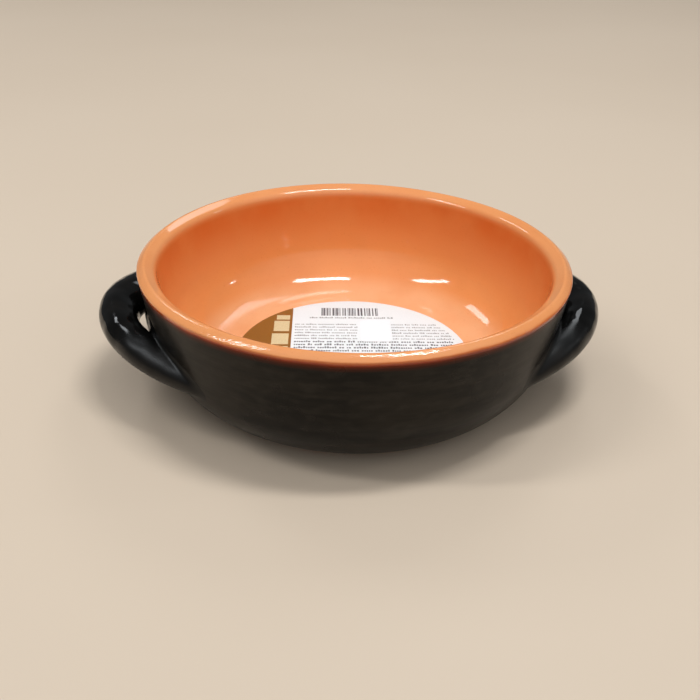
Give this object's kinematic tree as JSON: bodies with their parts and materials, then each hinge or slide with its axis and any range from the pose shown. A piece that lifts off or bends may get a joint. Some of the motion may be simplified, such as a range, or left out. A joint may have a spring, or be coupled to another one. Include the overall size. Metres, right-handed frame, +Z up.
{
  "type": "casserole dish",
  "caption": "Round terracotta casserole dish, honey-glazed inside and black-glazed outside, with low loop handles on opposite sides and a round paper label on its floor.",
  "frame": {"origin": "centre of the flat foot, on the surface that the dish stands on", "axes": "+Z up along the bowl's axis, +X from the middle of the dish towards the right-hand handle, +Y away from the viewer in the picture"},
  "size_m": [0.2378, 0.2, 0.064],
  "materials": {
    "terracotta": "bare fired red clay, matt and slightly gritty",
    "honey_glaze": "clear honey glaze over red clay, glossy",
    "black_glaze": "black glaze with a brown cast where it thins, glossy",
    "label_paper": "white coated paper with plain grey lines and a brown panel, satin",
    "sticker_paper": "blank white paper, matt"
  },
  "bodies": {
    "root": {"dish_body": "terracotta", "inner_glaze": "honey_glaze", "outer_glaze": "black_glaze", "left_handle": "black_glaze", "right_handle": "black_glaze", "round_label": "label_paper", "price_sticker": "sticker_paper"}
  },
  "joints": []
}
